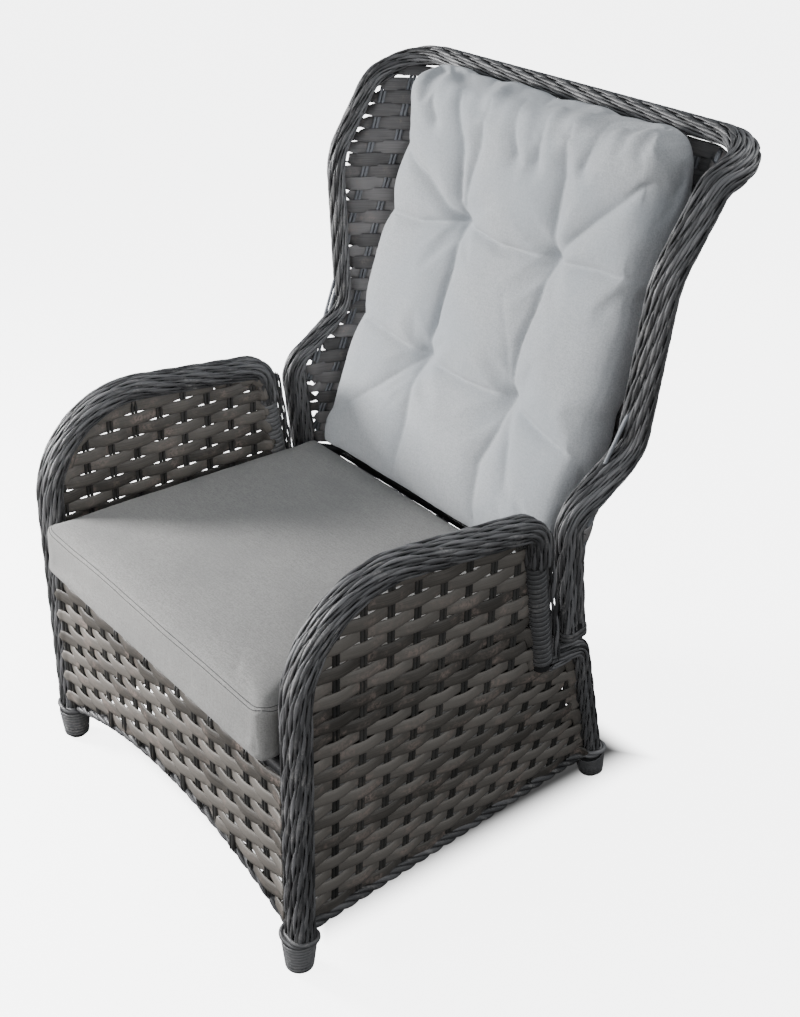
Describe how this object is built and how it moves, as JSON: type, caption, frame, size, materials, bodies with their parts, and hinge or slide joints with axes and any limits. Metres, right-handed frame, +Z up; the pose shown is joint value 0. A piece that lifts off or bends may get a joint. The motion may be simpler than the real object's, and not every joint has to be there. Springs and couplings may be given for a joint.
{
  "type": "reclining garden armchair",
  "caption": "Woven wicker garden armchair whose winged back reclines on hinge pins, held by a locking gas spring with a side release lever, with a loose seat cushion and a tufted back cushion.",
  "frame": {"origin": "middle of the whole chair's bounding box at floor level", "axes": "+Z up from the floor, the sitter faces -Y, +X is the sitter's left hand side"},
  "size_m": [0.7868, 0.8222, 1.0816],
  "materials": {
    "wicker": "satin grained synthetic rattan",
    "painted_tube": "powder coated dark grey",
    "seat_fabric": "woven outdoor cloth",
    "back_fabric": "woven outdoor cloth",
    "webbing": "flat elastic webbing",
    "glide_plastic": "moulded",
    "bare_steel": "bright",
    "moulded_plastic": "moulded",
    "cable_sheath": "smooth sheath",
    "black_steel": "satin black"
  },
  "bodies": {
    "base": {"foot_glides": "glide_plastic", "front_bottom_rod": "painted_tube", "front_edge_band": "wicker", "front_panel": "wicker", "front_seat_rail": "painted_tube", "gas_spring_rod": "bare_steel", "hinge_pins": "bare_steel", "left_arm_braid": "wicker", "left_arm_tube": "painted_tube", "left_front_foot": "wicker", "left_hinge_plate": "black_steel", "left_leg_braid": "wicker", "left_post_braid": "wicker", "left_post_wrap": "wicker", "left_rear_foot": "wicker", "left_rear_leg_tube": "painted_tube", "left_seat_side_rail": "painted_tube", "left_side_bottom_rod": "painted_tube", "left_side_edge_band": "wicker", "left_side_panel": "wicker", "lever_bush": "moulded_plastic", "rear_bottom_rod": "painted_tube", "rear_cross_tube": "painted_tube", "rear_edge_band": "wicker", "rear_ledge_braid": "wicker", "rear_panel": "wicker", "rear_seat_rail": "painted_tube", "release_cable": "cable_sheath", "release_head": "black_steel", "right_arm_braid": "wicker", "right_arm_tube": "painted_tube", "right_front_foot": "wicker", "right_hinge_plate": "black_steel", "right_leg_braid": "wicker", "right_post_braid": "wicker", "right_post_wrap": "wicker", "right_rear_foot": "wicker", "right_rear_leg_tube": "painted_tube", "right_seat_side_rail": "painted_tube", "right_side_bottom_rod": "painted_tube", "right_side_edge_band": "wicker", "right_side_panel": "wicker", "seat_cushion": "seat_fabric", "seat_straps": "webbing", "strut_cross_tube": "painted_tube"},
    "back": {"back_hoop_tube": "painted_tube", "back_lower_tube": "painted_tube", "left_tail_braid": "wicker", "right_tail_braid": "wicker", "left_rim_braid": "wicker", "right_rim_braid": "wicker", "top_rim_braid": "wicker", "back_weave": "wicker", "tail_wraps": "wicker", "hinge_bushes": "moulded_plastic", "spring_lever": "bare_steel", "back_cushion": "back_fabric"},
    "gas_spring": {"gas_spring_cylinder": "black_steel"},
    "release_lever": {"release_lever": "moulded_plastic"},
    "release_toggle": {"release_toggle": "black_steel"}
  },
  "joints": [
    {"name": "recline", "type": "hinge", "parent": "base", "child": "back", "pos_m": [0, 0.1219, 0.388], "axis": [-1, 0, 0], "range_deg": [0, 24]},
    {"name": "spring_slide", "type": "slide", "parent": "base", "child": "gas_spring", "axis": [0, -0.9914, 0.1305], "range_m": [0, 0.0334]},
    {"name": "release", "type": "hinge", "parent": "base", "child": "release_lever", "pos_m": [-0.32, -0.1241, 0.32], "axis": [-1, 0, 0], "range_deg": [0, 20], "stiffness_Nm_per_rad": 0.6, "springref_deg": -17.19},
    {"name": "toggle_turn", "type": "hinge", "parent": "base", "child": "release_toggle", "pos_m": [-0.0135, -0.07751, 0.33949], "axis": [1, 0, 0], "range_deg": [0, 12.05]}
  ],
  "couplings": [
    {"joint": "spring_slide", "follows": "recline", "m_per_rad": 0.0794},
    {"joint": "toggle_turn", "follows": "release", "ratio": 0.6}
  ]
}
